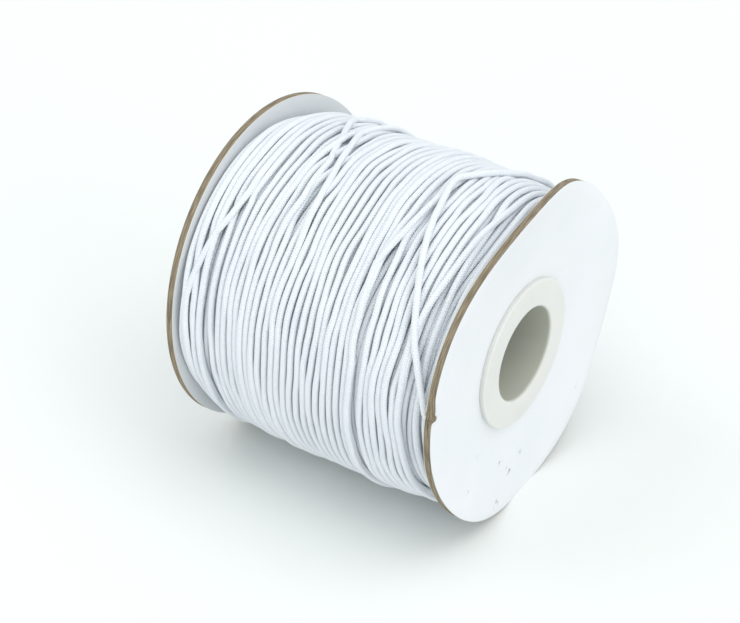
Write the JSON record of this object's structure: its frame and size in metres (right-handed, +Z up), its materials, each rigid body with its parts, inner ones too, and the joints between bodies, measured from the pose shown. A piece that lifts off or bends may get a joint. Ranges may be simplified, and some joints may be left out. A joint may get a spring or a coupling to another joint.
{
  "type": "roll of round elastic cord on a card spool",
  "caption": "Roll of white round elastic cord wound on a spool with card flanges and a plastic hub, its end tucked into a slit in one rim.",
  "frame": {"origin": "on the floor under the middle of the spool", "axes": "+X along the spool's axis towards the flange with the slit, +Z up, -Y the side where the cord's end goes into the slit"},
  "size_m": [0.0743, 0.0807, 0.0796],
  "materials": {
    "elastic": "braided white cover, matt with a faint sheen",
    "card": "smooth white paper faces, bare grey-brown cut edge",
    "moulding": "milky, slightly glossy moulded plastic"
  },
  "bodies": {
    "root": {"cord_winding": "elastic", "cord_end_run": "elastic", "flange_slit": "card", "flange_plain": "card", "hub_slit": "moulding", "hub_plain": "moulding"}
  },
  "joints": []
}
